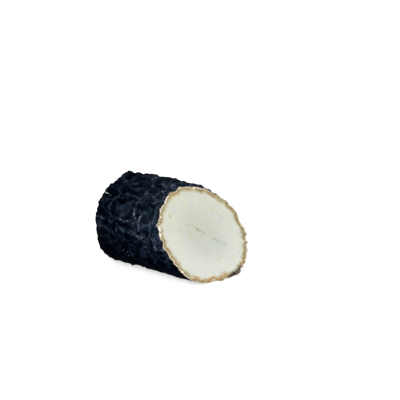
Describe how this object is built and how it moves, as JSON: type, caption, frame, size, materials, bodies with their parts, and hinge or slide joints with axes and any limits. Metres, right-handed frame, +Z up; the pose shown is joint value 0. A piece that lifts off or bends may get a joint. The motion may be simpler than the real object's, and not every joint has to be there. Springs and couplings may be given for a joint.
{
  "type": "ash-coated cheese",
  "caption": "Half of a soft log cheese in a black, wrinkled ash rind, lying on its side and cut on a slant across its pale paste.",
  "frame": {"origin": "on the resting face, under the log's axis and halfway between the closed end and the middle of the cut", "axes": "+X along the log towards the slanted cut, +Z up; the cut leans back from upright and turns towards -Y"},
  "size_m": [0.1217, 0.0796, 0.0795],
  "materials": {
    "ash_rind": "satin",
    "paste": "satin"
  },
  "bodies": {
    "root": {"cheese": "ash_rind"}
  },
  "joints": []
}
